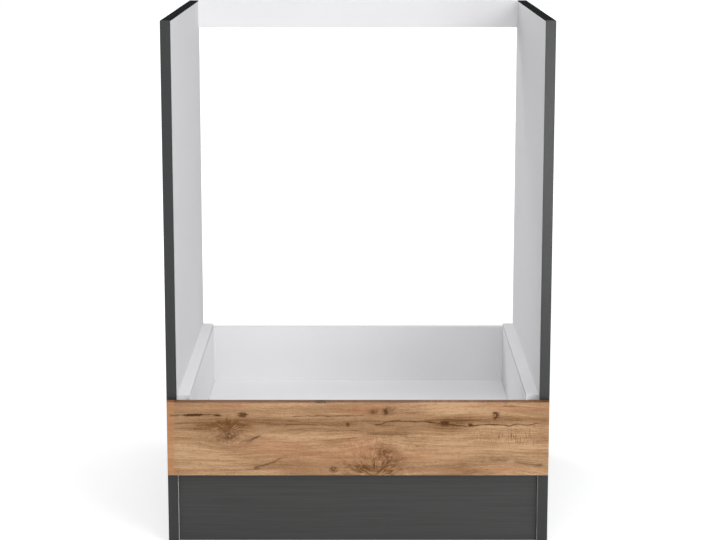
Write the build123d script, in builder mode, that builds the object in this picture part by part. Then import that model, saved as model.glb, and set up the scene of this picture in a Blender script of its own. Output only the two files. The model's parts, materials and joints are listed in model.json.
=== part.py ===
from build123d import *
import os
from math import sqrt

os.makedirs("parts", exist_ok=True)

# Oven housing unit. Millimetres, X to the right as seen from the front, Y to the rear, Z up.
# The origin is on the floor, at the centre of the unit's width and of its whole depth.

# Carcass boards and their edge bands
unit_width = 600
carcass_depth = 560
board = 16
band = 1
band_rounding = 0.5
band_joint = 0.1
rail_height = 47
plinth_height = 110.5
plinth_recess = 11
plinth_floor_gap = 0.5

# Oven niche and the battens that carry the oven
niche_height = 587
batten_width = 19
batten_height = 16
batten_front_setback = 18.5
batten_rear_setback = 10

# Drawer front
front_thickness = 16
front_height = 118
front_side_reveal = 1.5
front_top_drop = 3.5
front_bottom_rise = 4.5
front_closing_gap = 0.5

# Drawer box
drawer_metal = 1.2
drawer_travel = 410
drawer_lift = 3.8
drawer_floor = 3
drawer_floor_play = 0.3
drawer_batten_gap = 0.6
drawer_rear_setback = 16
drawer_top_drop = 2.3
floor_flange = 13
sheet_rounding = 0.4
groove_depth = 5
groove_play = 0.2

# Runners: a channel on the cabinet, a flange on the drawer, and a roller at one end of each
runner_metal = 1.2
runner_width = 14.5
runner_lift = 3
runner_lip = 3
runner_headroom = 1
runner_front_setback = 3
runner_rear_setback = 7
runner_flange_gap = 4.3
drawer_runner_front_setback = 1
drawer_runner_rear_setback = 20
roller_radius = 9
roller_width = 8
roller_gap = 0.3
roller_side_play = 0.5
roller_rounding = 0.8
roller_hub_radius = 4.2
roller_rim = 2
roller_recess = 1.2
roller_inset = 12
stop_lug_height = 2.5
stop_lug_length = 3
pin_radius = 2
pin_running_fit = 0.05
pin_collar_radius = 3
pin_head_radius = 4
pin_head_height = 1
pin_side_play = 0.2

# Front brackets
bracket_metal = 2
bracket_leg = 15
bracket_length = 40
bracket_batten_gap = 6
bracket_bottom_gap = 9
rivet_radius = 1.5
rivet_head_radius = 3
rivet_head_height = 1.2
rivet_front_setback = 13
rivet_spacing = 18

# Screws
screw_radius = 1.9
screw_head_radius = 3.6
sunk_head_height = 2.2
pan_head_height = 2
flat_head_height = 1.2
screw_play = 0.1
screw_point = 3
screw_point_radius = 0.4
drive_slot_length = 3.8
drive_slot_width = 0.9
drive_slot_depth = 0.8
batten_screw_length = 30
batten_screw_count = 4
batten_screw_inset = 50
runner_screw_length = 13
runner_screw_count = 3
runner_screw_inset = 60
front_screw_length = 13
front_screw_inset = 14
back_screw_length = 26
back_screw_inset = 16
floor_screw_length = 16
floor_screw_count = 5
floor_screw_inset = 60
block_screw_length = 14

# Cam fittings and dowels
cam_radius = 7.4
cam_depth = 12
cam_reach = 24
bolt_thread_radius = 3
bolt_thread_length = 11
bolt_neck_radius = 2.2
bolt_head_radius = 3.2
bolt_head_length = 4
fitting_play = 0.1
bottom_cam_inset = 70
rail_cam_drop = 31
rail_dowel_drop = 12
plinth_dowel_inset = 22
bottom_dowel_inset = 150
dowel_radius = 4
dowel_length = 30
dowel_in_panel = 11

# Corner blocks behind the plinth
block_size = 28
block_wall = 3
block_width = 22
block_spread = 130
block_screw_offset = 6

# Levels and planes that the pieces share
half_width = unit_width / 2
inner_x = half_width - board
front_y = front_closing_gap + front_thickness - (carcass_depth + front_closing_gap + front_thickness) / 2
rear_y = front_y + carcass_depth
front_back_y = front_y - front_closing_gap
front_face_y = front_back_y - front_thickness
plinth_top_z = plinth_floor_gap + plinth_height
plinth_front_y = front_y + plinth_recess
plinth_back_y = plinth_front_y + board
bottom_top_z = plinth_top_z + board
front_bottom_z = plinth_top_z + front_bottom_rise
front_top_z = front_bottom_z + front_height
seat_z = front_top_z + front_top_drop
unit_height = seat_z + niche_height
batten_x = inner_x - batten_width
batten_front_y = front_y + batten_front_setback
batten_back_y = rear_y - batten_rear_setback
front_half_width = half_width - front_side_reveal
batten_under_z = seat_z - batten_height
wall_outer_x = batten_x - drawer_batten_gap
wall_inner_x = wall_outer_x - drawer_metal
box_top_z = seat_z - drawer_top_drop
sheet_bottom_z = bottom_top_z + drawer_lift
floor_under_z = sheet_bottom_z + drawer_metal
floor_top_z = floor_under_z + drawer_floor
back_back_y = rear_y - drawer_rear_setback
back_front_y = back_back_y - board
back_mid_y = back_back_y - board / 2
runner_bottom_z = bottom_top_z + runner_lift
runner_floor_z = runner_bottom_z + runner_metal
roller_z = runner_floor_z + roller_gap + roller_radius
flange_under_z = roller_z + roller_radius + roller_gap
flange_top_z = flange_under_z + runner_metal
runner_ceiling_z = flange_top_z + runner_headroom
runner_top_z = runner_ceiling_z + runner_metal
runner_open_x = inner_x - runner_width
runner_web_x = inner_x - runner_metal
flange_end_x = runner_web_x - runner_flange_gap
drawer_web_x = wall_outer_x + runner_metal
roller_inner_x = runner_open_x + runner_metal + roller_side_play
roller_outer_x = roller_inner_x + roller_width
runner_front_y = front_y + runner_front_setback
runner_back_y = rear_y - runner_rear_setback
drawer_runner_front_y = front_y + drawer_runner_front_setback
drawer_runner_back_y = rear_y - drawer_runner_rear_setback
front_roller_y = runner_front_y + roller_inset
rear_roller_y = drawer_runner_back_y - roller_inset
bracket_bottom_z = runner_top_z + bracket_bottom_gap
bracket_top_z = batten_under_z - bracket_batten_gap

INWARD = (Align.CENTER, Align.CENTER, Align.MAX)
OUTWARD = (Align.CENTER, Align.CENTER, Align.MIN)
DOWN = (0, 0, -1)
REAR = (0, 1, 0)


def block(low, high, mode=Mode.ADD):
    """A square-edged block between two opposite corners."""
    with Locations(low):
        Box(*[b - a for a, b in zip(low, high)], align=(Align.MIN, Align.MIN, Align.MIN), mode=mode)


def bar(low, high):
    """A rectangle of a profile between two opposite corners."""
    with Locations(low):
        Rectangle(high[0] - low[0], high[1] - low[1], align=(Align.MIN, Align.MIN))


def spread(first, last, count):
    """Evenly spaced values from first to last."""
    return [first + (last - first) * i / (count - 1) for i in range(count)]


def finish(piece, name):
    """Label a finished piece and write it."""
    piece.part.label = name
    export_step(piece.part, f"parts/{name}.step")


def finish_pair(right, name):
    """Write the right-hand piece and its mirror image on the left."""
    with BuildPart() as left:
        mirror(right.part, about=Plane.YZ)
    finish(right, f"{name}_right")
    finish(left, f"{name}_left")


class Screw:
    """A cross-head screw. A place is a plane on the seat of its head, facing away from the shank."""

    def __init__(self, length, head_height, sunk=False):
        self.length = length
        self.head_height = head_height
        self.sunk = sunk

    def drill(self, places):
        """Cut the screw's hole out of what it passes through."""
        with Locations(*places):
            Cylinder(screw_radius + screw_play, self.length + screw_play, align=INWARD, mode=Mode.SUBTRACT)
            if self.sunk:
                Cone(screw_radius + screw_play, screw_head_radius + screw_play, self.head_height,
                     align=INWARD, mode=Mode.SUBTRACT)

    def add(self, places):
        """Add one screw at each place."""
        top = 0 if self.sunk else self.head_height
        with Locations(*places):
            Cylinder(screw_radius, self.length - screw_point, align=INWARD)
            if self.sunk:
                Cone(screw_radius, screw_head_radius, self.head_height, align=INWARD)
            else:
                Cylinder(screw_head_radius, self.head_height, align=OUTWARD)
            with Locations((0, 0, screw_point - self.length)):
                Cone(screw_point_radius, screw_radius, screw_point, align=INWARD)
            with Locations((0, 0, top)):
                Box(drive_slot_length, drive_slot_width, drive_slot_depth, align=INWARD, mode=Mode.SUBTRACT)
                Box(drive_slot_width, drive_slot_length, drive_slot_depth, align=INWARD, mode=Mode.SUBTRACT)


# Where the screws sit on the right-hand side
batten_screw = Screw(batten_screw_length, sunk_head_height, sunk=True)
first_batten_screw_y = batten_front_y + batten_screw_inset
last_batten_screw_y = batten_back_y - batten_screw_inset
batten_screw_places = [
    Plane(origin=(batten_x, y, seat_z - batten_height / 2), z_dir=(-1, 0, 0))
    for y in spread(first_batten_screw_y, last_batten_screw_y, batten_screw_count)
]
runner_screw = Screw(runner_screw_length, flat_head_height)
first_runner_screw_y = runner_front_y + runner_screw_inset
last_runner_screw_y = runner_back_y - runner_screw_inset
runner_screw_places = [
    Plane(origin=(runner_web_x, y, roller_z), z_dir=(-1, 0, 0))
    for y in spread(first_runner_screw_y, last_runner_screw_y, runner_screw_count)
]

front_screw = Screw(front_screw_length, pan_head_height)
bracket_leg_middle = wall_outer_x + (bracket_metal + bracket_leg) / 2
front_screw_places = [
    Plane(origin=(bracket_leg_middle, front_back_y + bracket_metal, z), z_dir=REAR)
    for z in (bracket_bottom_z + front_screw_inset, bracket_top_z - front_screw_inset)
]
back_screw = Screw(back_screw_length, pan_head_height)
back_screw_places = [
    Plane(origin=(wall_outer_x, back_mid_y, z), z_dir=(1, 0, 0))
    for z in (flange_top_z + back_screw_inset, batten_under_z - back_screw_inset)
]
floor_screw = Screw(floor_screw_length, flat_head_height)
floor_screw_places = [
    Plane(origin=(x, back_mid_y, floor_under_z), z_dir=DOWN)
    for x in spread(floor_screw_inset - wall_inner_x, wall_inner_x - floor_screw_inset, floor_screw_count)
]
block_screw = Screw(block_screw_length, pan_head_height)
leg_middle = (block_wall + block_size) / 2
rear_seat = (block_spread - block_screw_offset, plinth_back_y + block_wall, plinth_top_z - leg_middle)
upper_seat = (block_spread + block_screw_offset, plinth_back_y + leg_middle, plinth_top_z - block_wall)
block_screw_places = [Plane(origin=rear_seat, z_dir=REAR), Plane(origin=upper_seat, z_dir=DOWN)]

# Where the rivets of the front brackets and the roller pins sit on the right-hand side
rivet_places = [
    Plane(origin=(wall_outer_x + bracket_metal, y, (bracket_bottom_z + bracket_top_z) / 2), z_dir=(1, 0, 0))
    for y in (front_y + rivet_front_setback, front_y + rivet_front_setback + rivet_spacing)
]
front_pin_place = Plane(origin=(inner_x, front_roller_y, roller_z), z_dir=(-1, 0, 0))
rear_pin_place = Plane(origin=(wall_outer_x, rear_roller_y, roller_z), z_dir=(1, 0, 0))

# Where the cam fittings and dowels sit on the right-hand side, as depth and height
bottom_mid_z = plinth_top_z + board / 2
rail_mid_y = rear_y - board / 2
plinth_mid_y = plinth_front_y + board / 2
plinth_mid_z = plinth_floor_gap + plinth_height / 2
bottom_cams = [(front_y + bottom_cam_inset, bottom_mid_z), (rear_y - bottom_cam_inset, bottom_mid_z)]
bottom_dowels = [(front_y + bottom_dowel_inset, bottom_mid_z), (rear_y - bottom_dowel_inset, bottom_mid_z)]
rail_cams = [(rail_mid_y, unit_height - rail_cam_drop)]
rail_dowels = [(rail_mid_y, unit_height - rail_dowel_drop)]
plinth_cams = [(plinth_mid_y, plinth_mid_z)]
plinth_dowels = [
    (plinth_mid_y, plinth_floor_gap + plinth_dowel_inset),
    (plinth_mid_y, plinth_top_z - plinth_dowel_inset),
]


def bolt_places(spots):
    """Planes on the side panel's inner face, facing the middle of the unit."""
    return [Plane(origin=(inner_x, y, z), z_dir=(-1, 0, 0)) for y, z in spots]


def cam_places(spots, facing):
    """Planes on the board's face where each cam is let in."""
    return [
        Plane(origin=Vector(inner_x - cam_reach, y, z) + Vector(*facing) * (board / 2), z_dir=facing)
        for y, z in spots
    ]


def dowel_places(spots):
    """Planes at the dowels' ends inside the side panel."""
    return [Plane(origin=(inner_x + dowel_in_panel, y, z), z_dir=(1, 0, 0)) for y, z in spots]


def bore_bolts(spots):
    """Cut the bolts' long bores out of a board's end, as deep as the cam's middle."""
    depth = cam_reach + bolt_head_length / 2 + fitting_play
    with Locations(*bolt_places(spots)):
        Cylinder(bolt_head_radius + fitting_play, depth, align=OUTWARD, mode=Mode.SUBTRACT)


def bore_cams(spots, facing):
    """Cut the round pockets of the cams."""
    with Locations(*cam_places(spots, facing)):
        Cylinder(cam_radius + fitting_play, cam_depth + fitting_play, align=INWARD, mode=Mode.SUBTRACT)


def bore_dowels(spots):
    """Cut the dowel holes, in the side panel and in the board that meets it."""
    with Locations(*dowel_places(spots)):
        with Locations((0, 0, fitting_play)):
            Cylinder(dowel_radius + fitting_play, dowel_length + 2 * fitting_play,
                     align=INWARD, mode=Mode.SUBTRACT)


def punch_rivets():
    """Cut the rivets' holes through the bracket and the drawer side."""
    with Locations(*rivet_places):
        Cylinder(rivet_radius, bracket_metal + drawer_metal, align=INWARD, mode=Mode.SUBTRACT)


def add_roller(y):
    """Add a roller with a recess round its hub on both sides, and a bore for its pin."""
    recess_offset = (roller_width - roller_recess) / 2
    with Locations(Plane(origin=(roller_inner_x + roller_width / 2, y, roller_z), z_dir=(1, 0, 0))):
        Cylinder(roller_radius, roller_width)
        with Locations((0, 0, recess_offset), (0, 0, -recess_offset)):
            Cylinder(roller_radius - roller_rim, roller_recess, mode=Mode.SUBTRACT)
        Cylinder(roller_hub_radius, roller_width)
        Cylinder(pin_radius + pin_running_fit, roller_width, mode=Mode.SUBTRACT)


def ease_tread(piece):
    """Round the rims of a roller's tread."""
    fillet(piece.edges().filter_by(GeomType.CIRCLE).group_by(SortBy.RADIUS)[-1], radius=roller_rounding)


def add_pin(place, collar_end, head_start):
    """Add a roller's pin: a shank through the runner, a collar that spaces the roller, and a head."""
    with Locations(place):
        Cylinder(pin_radius, head_start, align=OUTWARD)
        with Locations((0, 0, runner_metal)):
            Cylinder(pin_collar_radius, collar_end - runner_metal, align=OUTWARD)
        with Locations((0, 0, head_start)):
            Cylinder(pin_head_radius, pin_head_height, align=OUTWARD)


# Side panels: the right one is drawn, the left one mirrored
with BuildPart() as side_panel:
    block((inner_x, front_y + band, 0), (half_width, rear_y, unit_height - band))
    with Locations(*bolt_places(bottom_cams + rail_cams + plinth_cams)):
        Cylinder(bolt_thread_radius + fitting_play, bolt_thread_length + fitting_play,
                 align=INWARD, mode=Mode.SUBTRACT)
    bore_dowels(bottom_dowels + rail_dowels + plinth_dowels)
    batten_screw.drill(batten_screw_places)
    runner_screw.drill(runner_screw_places)
finish_pair(side_panel, "side_panel")

# Edge bands on the side panels' front and top edges, with their long corners eased
with BuildPart() as side_front_band:
    block((inner_x, front_y, 0), (half_width, front_y + band, unit_height))
    fillet(side_front_band.edges().filter_by(Axis.Z).group_by(Axis.Y)[0], radius=band_rounding)
finish_pair(side_front_band, "side_front_band")

with BuildPart() as side_top_band:
    block((inner_x, front_y + band, unit_height - band), (half_width, rear_y, unit_height))
    fillet(side_top_band.edges().filter_by(Axis.Y).group_by(Axis.Z)[-1], radius=band_rounding)
finish_pair(side_top_band, "side_top_band")

# Upright rail at the top rear, held by a cam and a dowel at each end
with BuildPart() as top_rear_rail:
    block((0, rear_y - board, unit_height - rail_height), (inner_x, rear_y, unit_height))
    bore_bolts(rail_cams)
    bore_cams(rail_cams, REAR)
    bore_dowels(rail_dowels)
    mirror(about=Plane.YZ)
finish(top_rear_rail, "top_rear_rail")

# Bottom board, behind its white front band
with BuildPart() as bottom_panel:
    block((0, front_y + band, plinth_top_z), (inner_x, rear_y, bottom_top_z))
    bore_bolts(bottom_cams)
    bore_cams(bottom_cams, DOWN)
    bore_dowels(bottom_dowels)
    block_screw.drill(block_screw_places)
    mirror(about=Plane.YZ)
finish(bottom_panel, "bottom_panel")

with BuildPart() as bottom_panel_band:
    block((-inner_x, front_y, plinth_top_z), (inner_x, front_y + band, bottom_top_z))
    fillet(bottom_panel_band.edges().filter_by(Axis.X).group_by(Axis.Y)[0], radius=band_rounding)
finish(bottom_panel_band, "bottom_panel_band")

# Plinth, set back between the side panels
with BuildPart() as plinth_panel:
    block((0, plinth_front_y, plinth_floor_gap), (inner_x, plinth_back_y, plinth_top_z))
    bore_bolts(plinth_cams)
    bore_cams(plinth_cams, REAR)
    bore_dowels(plinth_dowels)
    block_screw.drill(block_screw_places)
    mirror(about=Plane.YZ)
finish(plinth_panel, "plinth_panel")

# Battens that carry the oven, screwed through their width into the side panels
with BuildPart() as oven_support_batten:
    block((batten_x, batten_front_y, batten_under_z), (inner_x, batten_back_y, seat_z))
    batten_screw.drill(batten_screw_places)
finish_pair(oven_support_batten, "oven_support_batten")

with BuildPart() as batten_screws:
    batten_screw.add(batten_screw_places)
    mirror(about=Plane.YZ)
finish(batten_screws, "batten_screws")

# Cam fittings and dowels of the flat-pack joints
with BuildPart() as cam_housings:
    with Locations(*cam_places(bottom_cams, DOWN), *cam_places(rail_cams + plinth_cams, REAR)):
        Cylinder(cam_radius, cam_depth, align=INWARD)
        Box(drive_slot_length, drive_slot_width, drive_slot_depth, align=INWARD, mode=Mode.SUBTRACT)
        Box(drive_slot_width, drive_slot_length, drive_slot_depth, align=INWARD, mode=Mode.SUBTRACT)
    bore_bolts(bottom_cams + rail_cams + plinth_cams)
    mirror(about=Plane.YZ)
finish(cam_housings, "cam_housings")

with BuildPart() as cam_bolts:
    with Locations(*bolt_places(bottom_cams + rail_cams + plinth_cams)):
        Cylinder(bolt_thread_radius, bolt_thread_length, align=INWARD)
        Cylinder(bolt_neck_radius, cam_reach, align=OUTWARD)
        with Locations((0, 0, cam_reach - bolt_head_length / 2)):
            Cylinder(bolt_head_radius, bolt_head_length, align=OUTWARD)
    mirror(about=Plane.YZ)
finish(cam_bolts, "cam_bolts")

with BuildPart() as wood_dowels:
    with Locations(*dowel_places(bottom_dowels + rail_dowels + plinth_dowels)):
        Cylinder(dowel_radius, dowel_length, align=INWARD)
    mirror(about=Plane.YZ)
finish(wood_dowels, "wood_dowels")

# Plastic corner blocks behind the plinth: two legs and a rib between them
with BuildPart() as plinth_corner_blocks:
    with BuildSketch(Plane.YZ.offset(block_spread - block_width / 2)):
        bar((plinth_back_y, plinth_top_z - block_size), (plinth_back_y + block_wall, plinth_top_z))
        bar((plinth_back_y, plinth_top_z - block_wall), (plinth_back_y + block_size, plinth_top_z))
    extrude(amount=block_width)
    with BuildSketch(Plane.YZ.offset(block_spread - block_wall / 2)):
        with BuildLine():
            Polyline(
                (plinth_back_y, plinth_top_z),
                (plinth_back_y, plinth_top_z - block_size),
                (plinth_back_y + block_size, plinth_top_z),
                close=True,
            )
        make_face()
    extrude(amount=block_wall)
    block_screw.drill(block_screw_places)
    mirror(about=Plane.YZ)
finish(plinth_corner_blocks, "plinth_corner_blocks")

with BuildPart() as corner_block_screws:
    block_screw.add(block_screw_places)
    mirror(about=Plane.YZ)
finish(corner_block_screws, "corner_block_screws")

# Cabinet runners: channels open towards the drawer, with a lug that stops the drawer's roller
lug_to_roller_middle = roller_radius + roller_gap - stop_lug_height
lug_reach = sqrt(roller_radius ** 2 - lug_to_roller_middle ** 2)
lug_back_y = rear_roller_y - drawer_travel - lug_reach - roller_gap
with BuildPart() as cabinet_runner:
    with BuildSketch(Plane.XZ.offset(-runner_back_y)):
        bar((runner_web_x, runner_bottom_z), (inner_x, runner_top_z))
        bar((runner_open_x, runner_bottom_z), (runner_web_x, runner_floor_z))
        bar((runner_open_x, runner_ceiling_z), (runner_web_x, runner_top_z))
        bar((runner_open_x, runner_floor_z), (runner_open_x + runner_metal, runner_floor_z + runner_lip))
    extrude(amount=runner_back_y - runner_front_y)
    block((runner_open_x + runner_metal, lug_back_y - stop_lug_length, runner_floor_z),
          (runner_web_x, lug_back_y, runner_floor_z + stop_lug_height))
    runner_screw.drill(runner_screw_places)
    with Locations(front_pin_place):
        Cylinder(pin_radius, runner_metal, align=OUTWARD, mode=Mode.SUBTRACT)
finish_pair(cabinet_runner, "cabinet_runner")

with BuildPart() as runner_screws:
    runner_screw.add(runner_screw_places)
    mirror(about=Plane.YZ)
finish(runner_screws, "runner_screws")

# Drawer runners: a flange that rides on the cabinet's roller, on a web welded to the drawer side
with BuildPart() as drawer_runner:
    with BuildSketch(Plane.XZ.offset(-drawer_runner_back_y)):
        bar((wall_outer_x, sheet_bottom_z), (drawer_web_x, flange_top_z))
        bar((drawer_web_x, flange_under_z), (flange_end_x, flange_top_z))
    extrude(amount=drawer_runner_back_y - drawer_runner_front_y)
    with Locations(rear_pin_place):
        Cylinder(pin_radius, runner_metal, align=OUTWARD, mode=Mode.SUBTRACT)
finish_pair(drawer_runner, "drawer_runner")

# Rollers and their pins: at the front of the cabinet runners and at the rear of the drawer runners
with BuildPart() as runner_roller:
    add_roller(front_roller_y)
    ease_tread(runner_roller)
finish_pair(runner_roller, "runner_roller")

with BuildPart() as drawer_roller:
    add_roller(rear_roller_y)
    ease_tread(drawer_roller)
finish_pair(drawer_roller, "drawer_roller")

pin_inner_x = roller_inner_x - pin_side_play
pin_outer_x = roller_outer_x + pin_side_play
with BuildPart() as runner_roller_pins:
    add_pin(front_pin_place, inner_x - pin_outer_x, inner_x - pin_inner_x)
    mirror(about=Plane.YZ)
finish(runner_roller_pins, "runner_roller_pins")

with BuildPart() as drawer_roller_pins:
    add_pin(rear_pin_place, pin_inner_x - wall_outer_x, pin_outer_x - wall_outer_x)
    mirror(about=Plane.YZ)
finish(drawer_roller_pins, "drawer_roller_pins")

# Drawer sides: bent steel inside the battens, as high as the back, with a flange under the drawer bottom
with BuildPart() as drawer_side:
    with BuildSketch(Plane.XZ.offset(-back_back_y)) as sheet:
        bar((wall_inner_x, sheet_bottom_z), (wall_outer_x, box_top_z))
        bar((wall_inner_x - floor_flange, sheet_bottom_z), (wall_inner_x, floor_under_z))
        fillet(sheet.vertices().group_by(Axis.Y)[-1], radius=sheet_rounding)
    extrude(amount=back_back_y - front_y)
    back_screw.drill(back_screw_places)
    punch_rivets()
finish_pair(drawer_side, "drawer_side")

# Drawer front: the oak-look board inside its four edge bands, grooved for the drawer bottom
with BuildPart() as drawer_front:
    block((0, front_face_y, front_bottom_z + band),
          (front_half_width - band, front_back_y, front_top_z - band))
    block((0, front_back_y - groove_depth, floor_under_z - groove_play),
          (wall_inner_x, front_back_y, floor_top_z + groove_play), mode=Mode.SUBTRACT)
    front_screw.drill(front_screw_places)
    mirror(about=Plane.YZ)
finish(drawer_front, "drawer_front")

with BuildPart() as drawer_front_bands:
    block((-front_half_width, front_face_y, front_top_z - band),
          (front_half_width, front_back_y, front_top_z))
    block((-front_half_width, front_face_y, front_bottom_z),
          (front_half_width, front_back_y, front_bottom_z + band))
    block((front_half_width - band, front_face_y, front_bottom_z + band + band_joint),
          (front_half_width, front_back_y, front_top_z - band - band_joint))
    front_edges = drawer_front_bands.edges().group_by(Axis.Y)[0]
    rows = front_edges.filter_by(Axis.X).group_by(Axis.Z)
    fillet(rows[0] + rows[-1] + front_edges.filter_by(Axis.Z).group_by(Axis.X)[-1], radius=band_rounding)
    mirror(about=Plane.YZ)
finish(drawer_front_bands, "drawer_front_bands")

# Drawer bottom and back
with BuildPart() as drawer_bottom:
    block((drawer_floor_play - wall_inner_x, front_back_y - groove_depth + groove_play, floor_under_z),
          (wall_inner_x - drawer_floor_play, back_back_y, floor_top_z))
    floor_screw.drill(floor_screw_places)
finish(drawer_bottom, "drawer_bottom")

with BuildPart() as drawer_back:
    block((0, back_front_y, floor_top_z), (wall_inner_x, back_back_y, box_top_z))
    back_screw.drill(back_screw_places)
    mirror(about=Plane.YZ)
    floor_screw.drill(floor_screw_places)
finish(drawer_back, "drawer_back")

with BuildPart() as drawer_bottom_screws:
    floor_screw.add(floor_screw_places)
finish(drawer_bottom_screws, "drawer_bottom_screws")

with BuildPart() as drawer_back_screws:
    back_screw.add(back_screw_places)
    mirror(about=Plane.YZ)
finish(drawer_back_screws, "drawer_back_screws")

# Brackets that join the drawer sides to the front, with their wood screws and rivets
with BuildPart() as front_bracket:
    block((wall_outer_x, front_back_y, bracket_bottom_z),
          (wall_outer_x + bracket_leg, front_back_y + bracket_metal, bracket_top_z))
    block((wall_outer_x, front_back_y, bracket_bottom_z),
          (wall_outer_x + bracket_metal, front_back_y + bracket_length, bracket_top_z))
    front_screw.drill(front_screw_places)
    punch_rivets()
finish_pair(front_bracket, "front_bracket")

with BuildPart() as front_bracket_screws:
    front_screw.add(front_screw_places)
    mirror(about=Plane.YZ)
finish(front_bracket_screws, "front_bracket_screws")

with BuildPart() as bracket_rivets:
    with Locations(*rivet_places):
        Cylinder(rivet_radius, bracket_metal + drawer_metal, align=INWARD)
        Cylinder(rivet_head_radius, rivet_head_height, align=OUTWARD)
    mirror(about=Plane.YZ)
finish(bracket_rivets, "bracket_rivets")
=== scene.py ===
# %% [markdown]
# # Oven housing unit
# The real object is a kitchen base unit that a built-in oven slides into. Graphite side panels
# stand on the floor, a white rail joins them at the top rear, and an oak front closes a shallow
# drawer over a recessed plinth. The boards and metal parts come as solids from the CAD model. This
# notebook gives them their finishes, adds small hardware, and sets up the camera and the light.

# %% Load the frame
import json
import math
import random
import bpy
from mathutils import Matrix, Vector


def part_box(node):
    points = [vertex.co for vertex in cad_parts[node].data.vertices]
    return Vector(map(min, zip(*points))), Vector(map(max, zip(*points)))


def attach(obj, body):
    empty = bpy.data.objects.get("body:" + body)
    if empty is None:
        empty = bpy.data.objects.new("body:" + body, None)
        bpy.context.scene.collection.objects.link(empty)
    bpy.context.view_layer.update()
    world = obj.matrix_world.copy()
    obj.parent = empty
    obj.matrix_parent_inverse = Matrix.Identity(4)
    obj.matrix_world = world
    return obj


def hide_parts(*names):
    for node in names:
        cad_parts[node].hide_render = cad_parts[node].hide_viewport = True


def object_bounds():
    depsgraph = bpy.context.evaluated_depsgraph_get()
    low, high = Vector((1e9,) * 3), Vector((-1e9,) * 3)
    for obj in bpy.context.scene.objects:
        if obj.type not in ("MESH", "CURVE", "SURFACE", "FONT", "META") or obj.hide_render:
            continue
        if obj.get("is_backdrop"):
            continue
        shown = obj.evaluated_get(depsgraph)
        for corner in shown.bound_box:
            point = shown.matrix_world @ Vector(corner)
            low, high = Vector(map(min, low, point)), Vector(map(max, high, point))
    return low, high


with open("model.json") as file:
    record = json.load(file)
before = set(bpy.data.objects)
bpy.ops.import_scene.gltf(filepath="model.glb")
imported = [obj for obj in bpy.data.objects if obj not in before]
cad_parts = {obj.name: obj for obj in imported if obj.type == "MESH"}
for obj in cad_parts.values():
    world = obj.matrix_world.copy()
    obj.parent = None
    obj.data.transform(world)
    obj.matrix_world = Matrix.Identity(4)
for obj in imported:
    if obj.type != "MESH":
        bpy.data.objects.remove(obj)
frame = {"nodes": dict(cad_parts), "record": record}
cad_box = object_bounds()
print("nodes:", len(frame["nodes"]))

# %% [markdown]
# ## Camera
# A product photograph is usually taken with a long lens, so that upright edges stay nearly
# parallel. The lens, height and tilt below were worked out from the straight edges of the boards:
# the camera stands three metres in front of the unit, a little above it, and looks down ten
# degrees. A plain camera object is enough, because nothing in it changes.

# %% Camera
lens = 101.86
film_width = 36
camera_distance = 3.35125
camera_height = 1.0219
camera_tilt = math.radians(10.696)

camera_data = bpy.data.cameras.new("photo_camera")
camera_data.lens = lens
camera_data.sensor_width = film_width
camera_data.sensor_fit = "HORIZONTAL"
camera = bpy.data.objects.new("photo_camera", camera_data)
camera.location = (0, -camera_distance, camera_height)
camera.rotation_euler = (math.pi / 2 - camera_tilt, 0, 0)
bpy.context.scene.collection.objects.link(camera)
bpy.context.scene.camera = camera
bpy.context.scene.view_settings.view_transform = "Standard"
print("camera sees", round(math.degrees(camera_data.angle), 1), "degrees across")

# %% [markdown]
# ## Node maths
# A procedural finish is a small formula, and formulas read best as expressions. `Link` wraps the
# output of a node, so that `1 - mask` or `a * b` adds the Math node by itself. Every other kind of
# node comes from `Graph.node`, which makes the settings first and then fills the sockets with
# values or links. Shader trees and geometry trees use the same two classes.


# %% Links
class Link:
    """The output of a node. Arithmetic on it adds Math nodes."""

    def __init__(self, graph, socket):
        self.graph = graph
        self.socket = socket

    def maths(self, operation, *values):
        return self.graph.node("ShaderNodeMath", {"operation": operation}, self, *values)

    def __add__(self, other):
        return self.maths("ADD", other)

    def __sub__(self, other):
        return self.maths("SUBTRACT", other)

    def __mul__(self, other):
        return self.maths("MULTIPLY", other)

    def __truediv__(self, other):
        return self.maths("DIVIDE", other)

    def __rsub__(self, other):
        return self.graph.node("ShaderNodeMath", {"operation": "SUBTRACT"}, other, self)

    def __rpow__(self, other):
        return self.graph.node("ShaderNodeMath", {"operation": "POWER"}, other, self)

    def __abs__(self):
        return self.maths("ABSOLUTE")

    __radd__ = __add__
    __rmul__ = __mul__

    def larger(self, other):
        return self.maths("MAXIMUM", other)

    def times_plus(self, factor, term):
        return self.maths("MULTIPLY_ADD", factor, term)

    def swing(self, amount):
        """How far a noise is from its middle, times an amount."""
        return (self - 0.5) * amount

    def ramp(self, low, high):
        """0 at low, 1 at high, and smooth between them."""
        return self.graph.node("ShaderNodeMapRange", {"interpolation_type": "SMOOTHSTEP"},
                               self, low, high, 0.0, 1.0)


# %% Graphs
class Graph:
    """A node tree that is filled through one method."""

    def node(self, kind, settings, *values, output=0, **named):
        """Add a node: its settings, then a value, a link or a list of links for each socket."""
        node = self.tree.nodes.new(kind)
        for name, value in settings.items():
            setattr(node, name, value)
        for key, value in [*enumerate(values), *named.items()]:
            if isinstance(value, Link):
                value = [value]
            if isinstance(value, list):
                for link in value:
                    self.tree.links.new(link.socket, node.inputs[key])
            elif value is not None:
                node.inputs[key].default_value = value
        return Link(self, node.outputs[output])

    def vector(self, operation, *values, output=0, **named):
        settings = {"operation": operation}
        return self.node("ShaderNodeVectorMath", settings, *values, output=output, **named)


# %% [markdown]
# `Finish` holds one material round a Principled shader. Its methods are the few words that the
# finishes below are written in: `stretch` scales the point so that a noise becomes grain, `noise`
# and `blend` make and mix patterns, and `paint`, `vary` and `bump` feed them to the shader.


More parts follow.
